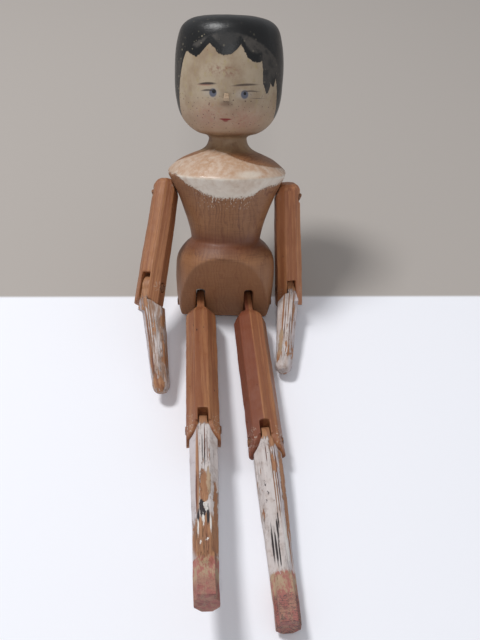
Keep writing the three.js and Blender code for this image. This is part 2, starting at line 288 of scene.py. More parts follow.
def box_tool(x0, x1, y0, y1, z0, z1, matrix=Matrix()):
    set_down()
    bpy.ops.mesh.primitive_cube_add(size=1)
    tool = bpy.context.object
    size = Matrix.Diagonal((x1 - x0, y1 - y0, z1 - z0, 1))
    return place(tool, matrix @ move((x0 + x1) / 2, (y0 + y1) / 2, (z0 + z1) / 2) @ size)


def saw(piece, tool, how):
    apply_modifier(piece, "BOOLEAN", operation=how, object=tool, solver="EXACT")
    bpy.data.objects.remove(tool)
    return piece


def cut_away(piece, tool):
    return saw(piece, tool, "DIFFERENCE")


def keep_inside(piece, tool):
    return saw(piece, tool, "INTERSECT")


def join_on(piece, tool):
    return saw(piece, tool, "UNION")


def round_bar(radius, x0, x1, matrix=Matrix(), sides=32):
    bar = turned("bar_tool", [(radius, x0), (radius, x1)], sides)
    return place(bar, matrix @ turn("Y", 90))


# %% Soften, carry to the joint and set the ride
def seat_piece(piece, matrix, body, node, material, voxel, knife, knife_size, softening=1):
    """Even the mesh, break its edges, leave faint knife marks and carry it to its place."""
    apply_modifier(piece, "REMESH", mode="VOXEL", voxel_size=voxel)
    apply_modifier(piece, "SMOOTH", factor=0.5, iterations=softening)
    marks = bpy.data.textures.new(node + "_marks", "CLOUDS")
    marks.noise_scale = knife_size
    marks.noise_depth = 1
    apply_modifier(piece, "DISPLACE", texture=marks, strength=knife, mid_level=0.5, texture_coords="LOCAL")
    place(piece, TO_METRES @ matrix)
    bpy.ops.object.shade_smooth()
    piece.data.materials.clear()
    piece.data.materials.append(material)
    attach(piece, body)
    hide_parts(node)
    print(piece.name, len(piece.data.polygons), "faces, rides on", body)
    return piece


# %% [markdown]
# ## Shader building
# Materials read Object coordinates, so they are in metres in the finished frame. A Mapping node turns them
# into millimetres in a piece's own frame, where the grain runs along Z. `Nodes` is a small helper that adds
# a node, sets its inputs and links it in one call.


# %% A small helper for node trees
class Nodes:
    def __init__(self, tree):
        self.tree = tree

    def add(self, kind, out=0, props=None, **inputs):
        node = self.tree.nodes.new(kind)
        for name, value in (props or {}).items():
            setattr(node, name, value)
        for name, value in inputs.items():
            socket = node.inputs[int(name[1:])] if name[0] == "i" and name[1:].isdigit() else node.inputs[name]
            self.feed(socket, value)
        return node.outputs[out]

    def feed(self, socket, value):
        if isinstance(value, bpy.types.NodeSocket):
            self.tree.links.new(value, socket)
        else:
            socket.default_value = value

    def math(self, operation, a, b=0.0, c=0.0, clamp=False):
        props = {"operation": operation, "use_clamp": clamp}
        return self.add("ShaderNodeMath", props=props, i0=a, i1=b, i2=c)

    def mix(self, factor, a, b, blend="MIX"):
        node = self.tree.nodes.new("ShaderNodeMix")
        node.data_type = "RGBA"
        node.blend_type = blend
        self.feed(node.inputs[0], factor)
        self.feed(node.inputs[6], a)
        self.feed(node.inputs[7], b)
        return node.outputs[2]

    def noise(self, vector, scale, detail=3.0, rough=0.5, distort=0.0, out=0):
        return self.add(
            "ShaderNodeTexNoise", out=out, Vector=vector, Scale=scale, Detail=detail,
            Roughness=rough, Distortion=distort,
        )

    def step(self, value, low, high, to_low=0.0, to_high=1.0, smooth=True):
        props = {"interpolation_type": "SMOOTHSTEP" if smooth else "LINEAR"}
        return self.add("ShaderNodeMapRange", props=props, i0=value, i1=low, i2=high, i3=to_low, i4=to_high)

    def stretch(self, vector, scale, turn_by=(0, 0, 0), shift=(0, 0, 0)):
        return self.add(
            "ShaderNodeMapping", Vector=vector, Scale=scale, Rotation=turn_by, Location=shift,
        )


def rgb(r, g, b):
    """A colour as it is seen, turned into the linear value a shader wants."""
    def one(v):
        v /= 255
        return v / 12.92 if v < 0.04045 else ((v + 0.055) / 1.055) ** 2.4
    return (one(r), one(g), one(b), 1.0)


def new_group(name, inputs, outputs):
    group = bpy.data.node_groups.new(name, "ShaderNodeTree")
    for label, kind, default in inputs:
        socket = group.interface.new_socket(name=label, in_out="INPUT", socket_type=kind)
        if default is not None:
            socket.default_value = default
    for label, kind in outputs:
        group.interface.new_socket(name=label, in_out="OUTPUT", socket_type=kind)
    nodes = Nodes(group)
    return nodes, group.nodes.new("NodeGroupInput").outputs, group.nodes.new("NodeGroupOutput").inputs


def use_group(nodes, name, **inputs):
    node = nodes.tree.nodes.new("ShaderNodeGroup")
    node.node_tree = bpy.data.node_groups[name]
    for label, value in inputs.items():
        nodes.feed(node.inputs[label.replace("_", " ")], value)
    return node.outputs


FLOAT, COLOR, VECTOR = "NodeSocketFloat", "NodeSocketColor", "NodeSocketVector"

# %% [markdown]
# ### Pine grain
# Pine is striped because summer wood is dark and hard, spring wood pale and soft. The stripes are growth
# rings: circles round a pith that lies outside a small piece, so a bar shows nearly straight lines and a
# turning shows arcs. The group works in the piece's own millimetres with the grain along Z. It also adds
# fine pores, slow patches of old wax, and a height for the raised summer wood.

# %% Pine grain group
n, gin, gout = new_group(
    "pine_grain",
    [("Vector", VECTOR, None), ("Pith X", FLOAT, 8.0), ("Pith Y", FLOAT, 38.0), ("Ring", FLOAT, 1.7),
     ("Wander", FLOAT, 2.0), ("Early", COLOR, None), ("Late", COLOR, None), ("Stain", COLOR, None),
     ("Contrast", FLOAT, 0.7)],
    [("Color", COLOR), ("Height", FLOAT), ("Patch", FLOAT)],
)
slow_bend = n.stretch(gin["Vector"], (0.06, 0.06, 0.012))
slow = n.add("ShaderNodeTexNoise", out=1, Vector=slow_bend, Scale=1.0, Detail=2.0)
reach = n.add("ShaderNodeCombineXYZ", i0=gin["Wander"], i1=gin["Wander"], i2=0.0)
wander = n.add("ShaderNodeVectorMath", props={"operation": "MULTIPLY_ADD"}, i0=slow, i1=reach, i2=gin["Vector"])
split = n.tree.nodes.new("ShaderNodeSeparateXYZ")
n.feed(split.inputs[0], wander)
dx = n.math("SUBTRACT", split.outputs[0], gin["Pith X"])
dy = n.math("SUBTRACT", split.outputs[1], gin["Pith Y"])
radius = n.math("SQRT", n.math("ADD", n.math("MULTIPLY", dx, dx), n.math("MULTIPLY", dy, dy)))
lean = n.math("MULTIPLY_ADD", split.outputs[2], 0.02, radius)
uneven = n.noise(n.stretch(gin["Vector"], (0.3, 0.3, 0.008), shift=(5, 2, 0)), 1.0, 2.0, 0.5)
lean = n.math("MULTIPLY_ADD", uneven, 5.0, lean)
ring_number = n.math("FLOOR", n.math("DIVIDE", lean, gin["Ring"]))
own_depth = n.add("ShaderNodeTexWhiteNoise", props={"noise_dimensions": "1D"}, W=ring_number)
ring = n.math("FRACT", n.math("DIVIDE", lean, gin["Ring"]))
late = n.math("MULTIPLY", n.step(ring, 0.35, 0.86), n.step(ring, 1.0, 0.9))
late = n.math("MULTIPLY", late, n.math("MULTIPLY_ADD", own_depth, 0.75, 0.25))
streak = n.noise(n.stretch(gin["Vector"], (2.2, 2.2, 0.09)), 1.0, 3.0, 0.6)
fine = n.noise(n.stretch(gin["Vector"], (6.0, 6.0, 0.35)), 1.0, 3.0, 0.65)
patch = n.noise(n.stretch(gin["Vector"], (0.09, 0.09, 0.05)), 1.0, 3.0, 0.6)
late_streaked = n.math("MULTIPLY", late, n.step(streak, 0.3, 0.6, 0.35, 1.0))
wood = n.mix(n.math("MULTIPLY", late_streaked, gin["Contrast"]), gin["Early"], gin["Late"])
wood = n.mix(n.step(fine, 0.47, 0.72, 0.0, 0.5), wood, gin["Stain"])
wood = n.mix(n.step(patch, 0.45, 0.75, 0.0, 0.45), wood, gin["Stain"])
n.feed(gout["Color"], wood)
n.feed(gout["Height"], n.math("MULTIPLY_ADD", fine, -0.6, n.math("MULTIPLY", late_streaked, 0.5)))
n.feed(gout["Patch"], patch)
print("pine grain group:", len(n.tree.nodes), "nodes")

# %% [markdown]
# ### Worn paint
# Old white ground paint lets go along the grain first: long slivers flake off the high edges, and hairline
# cracks fill with dirt. The group returns a mask, 1 where paint is left, and how thick it stands there.

# %% Worn paint group
n, gin, gout = new_group(
    "worn_paint",
    [("Vector", VECTOR, None), ("Amount", FLOAT, 0.5), ("Slivers", FLOAT, 0.5), ("Seed", FLOAT, 0.0)],
    [("Paint", FLOAT), ("Crack", FLOAT), ("Dirt", FLOAT)],
)
seed = n.add("ShaderNodeCombineXYZ", i0=gin["Seed"], i1=gin["Seed"], i2=gin["Seed"])
spot = n.add("ShaderNodeVectorMath", props={"operation": "ADD"}, i0=gin["Vector"], i1=seed)
sliver = n.noise(n.stretch(spot, (0.75, 0.75, 0.055)), 1.0, 4.0, 0.62, 0.4)
blotch = n.noise(n.stretch(spot, (0.16, 0.16, 0.07)), 1.0, 3.0, 0.6)
nibble = n.noise(n.stretch(spot, (2.4, 2.4, 1.1)), 1.0, 3.0, 0.6)
field = n.math("MULTIPLY_ADD", n.math("SUBTRACT", sliver, 0.5), gin["Slivers"], blotch)
field = n.math("MULTIPLY_ADD", n.math("SUBTRACT", nibble, 0.5), 0.12, field)
edge = n.math("SUBTRACT", field, gin["Amount"])
n.feed(gout["Paint"], n.step(edge, 0.012, -0.012))
crack = n.noise(n.stretch(spot, (1.5, 1.5, 0.04)), 1.0, 2.0, 0.5, 0.6)
line = n.math("ABSOLUTE", n.math("SUBTRACT", crack, 0.5))
n.feed(gout["Crack"], n.math("MULTIPLY", n.step(line, 0.014, 0.002), n.step(blotch, 0.42, 0.56)))
n.feed(gout["Dirt"], n.step(n.noise(spot, 0.35, 4.0, 0.65), 0.46, 0.72))
print("worn paint group:", len(n.tree.nodes), "nodes")

# %% [markdown]
# ### A dab of the brush
# Every painted feature is an oval stroke: brows, lids, irises, lips, cheeks. One group draws a soft or crisp
# oval at a place on a flat plane, turned by an angle and bowed.

# %% Brush dab group
n, gin, gout = new_group(
    "brush_dab",
    [("Across", FLOAT, 0.0), ("Up", FLOAT, 0.0), ("At X", FLOAT, 0.0), ("At Z", FLOAT, 0.0),
     ("Half Wide", FLOAT, 1.0), ("Half High", FLOAT, 1.0), ("Slope", FLOAT, 0.0), ("Soft", FLOAT, 0.1),
     ("Bow", FLOAT, 0.0)],
    [("Mask", FLOAT)],
)
x = n.math("SUBTRACT", gin["Across"], gin["At X"])
z = n.math("SUBTRACT", gin["Up"], gin["At Z"])
z = n.math("MULTIPLY_ADD", x, n.math("MULTIPLY", gin["Slope"], -1.0), z)
z = n.math("MULTIPLY_ADD", n.math("MULTIPLY", x, x), gin["Bow"], z)
u = n.math("DIVIDE", x, gin["Half Wide"])
v = n.math("DIVIDE", z, gin["Half High"])
reach = n.math("SQRT", n.math("ADD", n.math("MULTIPLY", u, u), n.math("MULTIPLY", v, v)))
n.feed(gout["Mask"], n.step(reach, n.math("ADD", 1.0, gin["Soft"]), n.math("SUBTRACT", 1.0, gin["Soft"])))
print("brush dab group ready")

# %% [markdown]
# ### Specks
# Old paint is dotted with worm pricks, fly specks and tiny chips. Each cell of a Voronoi pattern holds one
# dot of its own size; a slow noise gathers the dots into drifts, so they never look like a grid.

# %% Speck group
n, gin, gout = new_group(
    "specks",
    [("Vector", VECTOR, None), ("Spacing", FLOAT, 1.5), ("Size", FLOAT, 0.3), ("Share", FLOAT, 0.5)],
    [("Mask", FLOAT)],
)
cells = n.tree.nodes.new("ShaderNodeTexVoronoi")
n.feed(cells.inputs["Vector"], gin["Vector"])
n.feed(cells.inputs["Scale"], n.math("DIVIDE", 1.0, gin["Spacing"]))
tint = n.tree.nodes.new("ShaderNodeSeparateColor")
n.feed(tint.inputs[0], cells.outputs["Color"])
away = n.math("MULTIPLY", cells.outputs["Distance"], gin["Spacing"])
own_size = n.math("MULTIPLY", gin["Size"], n.math("MULTIPLY_ADD", tint.outputs[0], 0.8, 0.4))
dot = n.step(n.math("DIVIDE", away, own_size), 1.0, 0.6)
drift = n.noise(gin["Vector"], 0.22, 2.0, 0.5)
keep = n.step(n.math("SUBTRACT", n.math("ADD", tint.outputs[1], drift), gin["Share"]), 0.48, 0.52)
n.feed(gout["Mask"], n.math("MULTIPLY", dot, keep))
print("speck group ready")


# %% Material start
def start_material(name, to_piece):
    """A material whose coordinates are the piece's own millimetres."""
    material = bpy.data.materials.new(name)
    material.use_nodes = True
    tree = material.node_tree
    tree.nodes.clear()
    nodes = Nodes(tree)
    across = 1 / MM
    if to_piece.determinant() < 0:
        to_piece = to_piece @ MIRROR
        across = -across
    place_of, turned_by, _ = to_piece.decompose()
    metres = nodes.add("ShaderNodeTexCoord", out=3)
    size = (across, 1 / MM, 1 / MM)
    local = nodes.stretch(metres, size, tuple(turned_by.to_euler()), tuple(place_of))
    shader = tree.nodes.new("ShaderNodeBsdfPrincipled")
    output = tree.nodes.new("ShaderNodeOutputMaterial")
    tree.links.new(shader.outputs[0], output.inputs[0])
    return material, nodes, local, shader


def bump(nodes, shader, height, strength, distance):
    node = nodes.tree.nodes.new("ShaderNodeBump")
    node.inputs["Strength"].default_value = strength
    node.inputs["Distance"].default_value = distance
    nodes.feed(node.inputs["Height"], height)
    nodes.feed(shader.inputs["Normal"], node.outputs[0])


# %% [markdown]
# ## The head and body
# One piece comes off the lathe: hips, a pinched waist, a bell of a chest, the shoulder edge, a thin neck
# and a tall rounded head. The ring-by-ring build follows that profile; then flats are sliced at the front
# of the hips, under the seat and on the shoulders, and the two leg slots and the peg holes are cut.

# %% Turn the body
HEAD_R = 21.8
HEAD_TOP = 122.4
PROFILE = [
    (0, 0), (18.6, 0), (19.9, 5), (20.65, 12), (20.9, 21.5), (20.4, 25.5), (19.0, 28.5), (16.7, 31.3),
    (14.7, 32.9), (14.5, 33.5), (15.4, 38), (16.9, 43), (19.1, 49), (21.6, 54.7), (24.7, 59.8),
    (25.2, 60.7), (24.6, 61.6), (20.2, 65.5), (15, 68.2), (11.6, 69.6), (9, 71.4), (7.9, 74),
    (8.1, 75.6), (12.4, 77), (16.6, 80), (19.6, 84.5), (21.3, 91), (21.8, 99), (21.7, 106),
    (20.9, 112), (19.3, 117.4), (16, 120.4), (10.8, 121.8), (0, 122.4),
]


def smooth_line(points, between):
    """A smooth run through the points, so the turning isn't a stack of cones."""
    out = []
    for i in range(len(points) - 1):
        before = Vector(points[max(i - 1, 0)])
        here = Vector(points[i])
        after = Vector(points[i + 1])
        beyond = Vector(points[min(i + 2, len(points) - 1)])
        for k in range(between):
            t = k / between
            span = (after - here).length
            tan_a = (after - before) * span / max((after - before).length, 1e-6)
            tan_b = (beyond - here) * span / max((beyond - here).length, 1e-6)
            h1 = 2 * t**3 - 3 * t**2 + 1
            h2 = t**3 - 2 * t**2 + t
            h3 = -2 * t**3 + 3 * t**2
            h4 = t**3 - t**2
            p = here * h1 + tan_a * h2 + after * h3 + tan_b * h4
            out.append((max(p.x, 0.02), p.y))
    out.append(tuple(points[-1]))
    return out


body_line = smooth_line(PROFILE[1:-1], 4)
body = turned("turned_body", [(0.05, 0)] + body_line + [(0.05, HEAD_TOP)], 128)
print("turned body:", len(body.data.polygons), "faces")

# %% Slice the flats and saw the slots
FRONT_FLAT_HEM = 4
FRONT_FLAT_TOP = 19.2
FRONT_FLAT_TOP_Z = 28
front_slope = math.degrees(math.atan2(FRONT_FLAT_TOP - FRONT_FLAT_HEM, FRONT_FLAT_TOP_Z))
front_cut = move(0, -FRONT_FLAT_HEM, 0) @ turn("X", front_slope)
cut_away(body, box_tool(-40, 40, -60, 0, -60, 60, front_cut))
seat_cut = move(0, SEAT_START, 0) @ turn("X", RECLINE)
cut_away(body, box_tool(-40, 40, -10, 60, -60, 0, seat_cut))
for side in ("left", "right"):
    flip = Matrix() if side == "left" else MIRROR
    cut_away(body, box_tool(0, 30, -30, 30, -14, 30, flip @ shoulder_frame()))
    cut_away(body, round_bar(PEG_R + GAP, -8.3, 8, flip @ shoulder_frame()))
    hip = flip @ hip_frame(side)
    cut_away(body, box_tool(-SLOT_W / 2, SLOT_W / 2, -60, 60, -30, 7.7, hip))
    cut_away(body, round_bar(PEG_R + GAP, -6.5, 40, hip))
print("body cut:", len(body.data.polygons), "faces")

# %% Cut the mortise for the nose
NOSE_X = -0.4
NOSE_Z = 91.8
NOSE_WIDE = 2.4
NOSE_TALL = 4.4
NOSE_OUT = 1.8
BRIDGE_DROP = 1.5
nose_top = NOSE_Z + NOSE_TALL * 0.62
nose_base = NOSE_Z - NOSE_TALL * 0.38
mortise = box_tool(-0.75, 0.75, -HEAD_R - 3, -HEAD_R + 4.3, nose_base + 0.7, nose_top - 2.2, move(NOSE_X, 0, 0))
cut_away(body, mortise)
print("mortise cut")

# %% [markdown]
# ### The painted head and yoke
# The paint is laid out in the turning's own frame. Angle round the axis and height say where hair starts:
# a fringe of three scallops over the brow, a side lock in front of each ear, and black all round the back.
# The white yoke covers the shoulders and ends in a ragged bib. Everything else is bare wood.

# %% Body material: frame, angle and height
TO_TORSO = TORSO.inverted()
body_paint, n, local, shader = start_material("painted_turning", TO_TORSO)
xyz = n.tree.nodes.new("ShaderNodeSeparateXYZ")
n.feed(xyz.inputs[0], local)
X, Y, Z = xyz.outputs
angle = n.math("ARCTAN2", X, n.math("MULTIPLY", Y, -1.0))
quiver = n.noise(local, 0.9, 3.0, 0.6)
waver = n.math("MULTIPLY", n.math("SUBTRACT", quiver, 0.5), 1.6)
z_wavy = n.math("ADD", Z, waver)
angle_wavy = n.math("MULTIPLY_ADD", waver, 0.03, angle)


def curve(nodes, value, points, low, high):
    """A hand-drawn line: points (angle in degrees, height) joined by straight runs."""
    node = nodes.tree.nodes.new("ShaderNodeFloatCurve")
    line = node.mapping.curves[0]
    turn_share = [((a + 180) / 360, (h - low) / (high - low)) for a, h in points]
    line.points[0].location = turn_share[0]
    line.points[1].location = turn_share[-1]
    for place_at in turn_share[1:-1]:
        line.points.new(*place_at)
    for point in line.points:
        point.handle_type = "VECTOR"
    node.mapping.update()
    share = nodes.math("DIVIDE", nodes.math("ADD", value, math.pi), 2 * math.pi)
    nodes.feed(node.inputs["Value"], share)
    return nodes.math("MULTIPLY_ADD", node.outputs[0], high - low, low)


print("body frame nodes ready")

# %% Hair line
hair_low = 70
hair_high = 125
HAIR_LINE = [
    (-180, 80), (-100, 81), (-72, 84), (-66, 89), (-61, 96), (-53, 105), (-49, 107.9), (-45, 107.5),
    (-40, 106.6), (-35, 105.8), (-31, 106.4), (-26, 108.4), (-20, 110.8), (-15, 109.2), (-10, 107.2),
    (-4, 106.5), (2, 106.8), (8, 108.4), (13, 110.6), (16, 108.6), (20, 105.9), (25, 104.4), (31, 104.2),
    (36.5, 104.8), (37.5, 98), (41, 94.6), (44, 92.6), (47, 93.4), (49, 97.2), (51, 95.4), (55, 95.4),
    (57.5, 98.4), (60, 97), (64, 90), (72, 84), (100, 81), (180, 80),
]
hair_edge = curve(n, angle_wavy, HAIR_LINE, hair_low, hair_high)
hair = n.step(n.math("SUBTRACT", z_wavy, hair_edge), 0.0, 0.35)
above_fringe = n.math("SUBTRACT", Z, hair_edge)
print("hair line with", len(HAIR_LINE), "points")

# %% Wear in the hair: a rubbed band behind the fringe
rub_noise = n.noise(n.stretch(local, (0.3, 0.3, 0.4)), 1.0, 5.0, 0.7)
front = n.step(n.math("MULTIPLY", Y, -1.0), 3.0, 12.0)
arch_top = n.math("MULTIPLY_ADD", n.math("MULTIPLY", angle, angle), -9.0, 115.4)
under_arch = n.step(n.math("SUBTRACT", arch_top, z_wavy), 0.0, 1.2)
band = n.math("MULTIPLY", n.step(above_fringe, 2.8, 4.4), under_arch)
rubbed = n.math("MULTIPLY", n.math("MULTIPLY", band, front), n.step(rub_noise, 0.3, 0.56, 0.15, 1.0))
shine_spot = n.step(n.math("ABSOLUTE", n.math("MULTIPLY_ADD", angle, 1.0, 0.03)), 0.3, 0.12)
rubbed = n.math("MULTIPLY", rubbed, n.math("MULTIPLY_ADD", shine_spot, -0.75, 1.0))
lock_rub = n.math("MULTIPLY", n.step(n.math("ABSOLUTE", n.math("SUBTRACT", angle, 0.73)), 0.2, 0.08),
                  n.step(Z, 110.0, 101.0))
rubbed = n.math("MAXIMUM", rubbed, n.math("MULTIPLY", lock_rub, n.step(rub_noise, 0.3, 0.55, 0.2, 0.9)))
old_chips = use_group(n, "specks", Vector=local, Spacing=1.6, Size=0.46, Share=0.5)[0]
chips = n.math("MULTIPLY", old_chips, n.step(above_fringe, 15.0, 7.0))
chips = n.math("MULTIPLY", chips, n.math("MULTIPLY_ADD", n.step(angle, -0.25, -0.5), 0.65, 0.35))
hair_color = n.mix(n.math("MULTIPLY", rubbed, 0.55), rgb(11, 11, 12), rgb(90, 84, 78))
hair_color = n.mix(n.math("MULTIPLY", chips, 0.75), hair_color, rgb(140, 132, 112))
print("hair wear ready")

# %% Flesh paint: cream, yellowed and soiled
soil = n.noise(n.stretch(local, (0.12, 0.12, 0.1)), 1.0, 4.0, 0.6)
yellowing = n.noise(n.stretch(local, (0.5, 0.5, 0.3), shift=(7, 3, 1)), 1.0, 3.0, 0.6)
flesh = n.mix(n.step(soil, 0.35, 0.7), rgb(170, 153, 130), rgb(147, 126, 102))
flesh = n.mix(n.step(yellowing, 0.52, 0.72, 0.0, 0.5), flesh, rgb(160, 142, 96))
low_face = n.step(Z, 94.0, 79.0)
flesh = n.mix(n.math("MULTIPLY", low_face, 0.6), flesh, rgb(174, 143, 119))
pricks = use_group(n, "specks", Vector=local, Spacing=1.15, Size=0.29, Share=0.24)[0]
specks = n.math("MULTIPLY", pricks, n.step(Z, 96.0, 90.0, 0.12, 1.0))
flesh = n.mix(n.math("MULTIPLY", specks, 0.8), flesh, rgb(64, 36, 30))
top_pricks = use_group(n, "specks", Vector=local, Spacing=1.3, Size=0.26, Share=0.5)[0]
near_fringe = n.step(above_fringe, -7.0, -2.5, 0.0, 0.6)
flesh = n.mix(n.math("MULTIPLY", top_pricks, near_fringe), flesh, rgb(132, 72, 54))
print("flesh paint ready")


# %% Features of the face
def dab(at_x, at_z, half_wide, half_high, slope=0.0, soft=0.12, bow=0.0):
    mask = use_group(
        n, "brush_dab", Across=X, Up=Z, At_X=at_x, At_Z=at_z, Half_Wide=half_wide,
        Half_High=half_high, Slope=slope, Soft=soft, Bow=bow,
    )[0]
    return n.math("MULTIPLY", mask, front)


def paint(base, mask, color, strength=1.0):
    return n.mix(n.math("MULTIPLY", mask, strength), base, color)


blush_break = n.step(n.noise(local, 0.9, 5.0, 0.75), 0.3, 0.66)
for at_x, at_z in ((-6.2, 84.4), (6.4, 83.2)):
    cheek = n.math("MULTIPLY", dab(at_x, at_z, 5.4, 4.1, soft=0.9), blush_break)
    flesh = paint(flesh, cheek, rgb(160, 84, 70), 0.42)
smudge = n.math("MULTIPLY", dab(-1.8, 101.2, 5.6, 1.9, -0.1, soft=0.8), n.step(quiver, 0.42, 0.66))
flesh = paint(flesh, smudge, rgb(116, 62, 48), 0.62)
for at_x, at_z in ((-5.6, 93.0), (6.5, 92.6)):
    flesh = paint(flesh, dab(at_x - 0.6, at_z, 2.9, 1.7, soft=0.6), rgb(176, 166, 156), 0.5)
    flesh = paint(flesh, dab(at_x, at_z, 1.42, 1.6, soft=0.2), rgb(90, 92, 104))
flesh = paint(flesh, dab(-5.2, 93.5, 0.8, 0.78), rgb(14, 13, 15))
flesh = paint(flesh, dab(6.6, 92.95, 0.55, 0.6), rgb(18, 17, 22))
flesh = paint(flesh, dab(-7.6, 93.9, 2.3, 0.36, 0.04, 0.5, 0.03), rgb(54, 46, 42), 0.85)
flesh = paint(flesh, dab(8.8, 93.9, 3.0, 0.26, 0.02, 0.5, 0.02), rgb(72, 60, 54), 0.8)
flesh = paint(flesh, dab(-7.9, 96.3, 3.2, 0.5, 0.06, 0.4, 0.01), rgb(50, 36, 32), 0.95)
flesh = paint(flesh, dab(6.6, 96.2, 4.4, 0.42, 0.07, 0.45, 0.008), rgb(62, 46, 40), 0.85)
flesh = paint(flesh, dab(-8.6, 95.7, 2.6, 0.3, 0.0, 0.7), rgb(160, 96, 80), 0.4)
flesh = paint(flesh, dab(11.6, 91.2, 2.6, 0.14, 0.0, 0.6), rgb(84, 70, 60), 0.6)
flesh = paint(flesh, dab(-0.6, 83.15, 2.3, 0.34, 0.0, 0.3, -0.02), rgb(124, 30, 30))
flesh = paint(flesh, dab(-0.6, 82.7, 1.0, 0.55, 0.0, 0.4), rgb(124, 40, 38), 0.8)
# A soft brown dab just under the nose is a painted shadow of the nose.
flesh = paint(flesh, dab(-0.6, 89.0, 2.0, 1.0, soft=0.7), rgb(110, 82, 64), 0.6)
print("face painted")

# %% Yoke of white paint with a ragged hem
YOKE_HEM = [
    (-180, 66), (-100, 65), (-88, 61.6), (-70, 61.4), (-55, 61.6), (-48, 60.4), (-41, 57.8), (-33, 56.6),
    (-26, 55), (-18, 54), (-11, 53.2), (0, 53.0), (12, 53.2), (22, 53.4), (31, 54.2), (37, 56.2),
    (44, 57.4), (50, 57.6), (60, 57.6), (72, 58.4), (84, 60.4), (100, 65), (180, 66),
]
YOKE_TOP = [
    (-180, 60), (-110, 60), (-95, 63.5), (-75, 66.5), (-50, 70.4), (-30, 70.6), (0, 69.6), (20, 67.4),
    (40, 65.6), (60, 64.4), (84, 63.4), (100, 60), (180, 60),
]
ragged = n.math("MULTIPLY", n.math("SUBTRACT", n.noise(local, 1.5, 4.0, 0.7), 0.5), 3.2)
threads = n.noise(n.stretch(local, (2.6, 2.6, 0.35)), 1.0, 3.0, 0.6)
ragged = n.math("MULTIPLY_ADD", n.math("SUBTRACT", threads, 0.5), 4.0, ragged)
hem = curve(n, angle, YOKE_HEM, 50, 72)
top = curve(n, angle, YOKE_TOP, 50, 75)
over_hem = n.step(n.math("ADD", n.math("SUBTRACT", Z, hem), ragged), -0.2, 0.2)
under_top = n.step(n.math("SUBTRACT", top, n.math("MULTIPLY_ADD", ragged, 0.3, Z)), -0.2, 0.2)
yoke = n.math("MULTIPLY", over_hem, under_top)
yoke_color = n.mix(n.step(soil, 0.38, 0.66), rgb(222, 211, 197), rgb(200, 180, 160))
upper = n.step(Z, 60.6, 61.6)
peach = n.math("MULTIPLY", upper, n.step(yellowing, 0.3, 0.7, 0.5, 0.95))
yoke_color = n.mix(peach, yoke_color, rgb(180, 143, 114))
yoke_color = n.mix(n.math("MULTIPLY", dab(9.2, 62.4, 4.4, 1.3, soft=0.5), 0.7), yoke_color, rgb(216, 206, 192))
flake_spots = n.step(n.noise(n.stretch(local, (1.7, 1.7, 0.5)), 1.0, 3.0, 0.6), 0.6, 0.64)
flakes_below = n.math("MULTIPLY", flake_spots, n.math("MULTIPLY", n.step(Z, 47.0, 51.5), front))
flakes_below = n.math("MULTIPLY", flakes_below, n.step(n.math("ABSOLUTE", angle), 0.75, 0.35))
yoke = n.math("MAXIMUM", yoke, n.math("MULTIPLY", flakes_below, n.math("MULTIPLY", under_top, 0.9)))
hem_line = n.step(n.math("ABSOLUTE", n.math("ADD", n.math("SUBTRACT", Z, hem), ragged)), 0.55, 0.1)
print("yoke ready")

# %% Bare wood, neck and the final mix
grain = use_group(
    n, "pine_grain", Vector=local, Pith_X=44.0, Pith_Y=-20.0, Ring=1.5, Wander=6.0,
    Early=rgb(148, 102, 66), Late=rgb(106, 60, 38), Stain=rgb(110, 70, 45), Contrast=1.0,
)
front_side = n.step(n.math("MULTIPLY", Y, -1.0), 2.0, 8.0)
lathe_lines = n.noise(n.stretch(local, (0.12, 0.12, 2.6)), 1.0, 3.0, 0.7)
neck = n.math("MULTIPLY", n.step(Z, 68.5, 70.5), n.step(Z, 78.5, 76.5))
neck_color = n.mix(n.step(soil, 0.4, 0.62), rgb(156, 128, 97), rgb(123, 92, 66))
wood_color = n.mix(n.step(lathe_lines, 0.52, 0.7, 0.0, 0.45), grain["Color"], rgb(91, 56, 38))
wood_color = n.mix(n.step(lathe_lines, 0.46, 0.32, 0.0, 0.3), wood_color, rgb(160, 118, 84))
wood_color = n.mix(n.math("MULTIPLY", neck, 0.85), wood_color, neck_color)
# The band round the waist groove is painted dark brown: painted shade in the groove and on the top of the hips,
# with some dirt.
waist_shade_and_dirt = n.step(n.math("ABSOLUTE", n.math("SUBTRACT", z_wavy, 33.0)), 7.0, 0.6)
wood_color = n.mix(n.math("MULTIPLY", waist_shade_and_dirt, 0.72), wood_color, rgb(98, 48, 27))
hip_front = n.math("MULTIPLY", n.step(Z, 28.5, 25.5), front_side)
wood_color = n.mix(n.math("MULTIPLY", hip_front, 0.4), wood_color, rgb(164, 116, 82))
chin = n.step(n.math("MULTIPLY_ADD", waver, 0.5, Z), 76.6, 78.6)
color = n.mix(yoke, wood_color, yoke_color)
color = n.mix(n.math("MULTIPLY", hem_line, n.math("MULTIPLY", front, 0.55)), color, rgb(226, 218, 204))
color = n.mix(chin, color, flesh)
color = n.mix(n.math("MULTIPLY", hair, n.step(Z, 76.0, 78.0)), color, hair_color)
n.feed(shader.inputs["Base Color"], color)
hair_mask = n.math("MULTIPLY", hair, n.step(Z, 76.0, 78.0))
gloss = n.math("MULTIPLY_ADD", n.math("SUBTRACT", 1.0, rubbed), -0.38, 0.72)
rough = n.step(grain["Patch"], 0.3, 0.7, 0.42, 0.6)
rough = n.math("ADD", n.math("MULTIPLY", yoke, -0.2), rough)
rough = n.math("ADD", n.math("MULTIPLY", chin, 0.06), rough)
rough = n.add("ShaderNodeMix", out=0, i0=hair_mask, i2=rough, i3=gloss)
n.feed(shader.inputs["Roughness"], rough)
paint_height = n.math("ADD", n.math("MULTIPLY", yoke, 0.7), n.math("MULTIPLY", chin, 0.6))
paint_height = n.math("MULTIPLY_ADD", hair_mask, 0.35, paint_height)
brush = n.noise(n.stretch(local, (1.2, 1.2, 0.6)), 1.0, 3.0, 0.6)
bare = n.math("SUBTRACT", 1.0, n.math("MAXIMUM", yoke, chin))
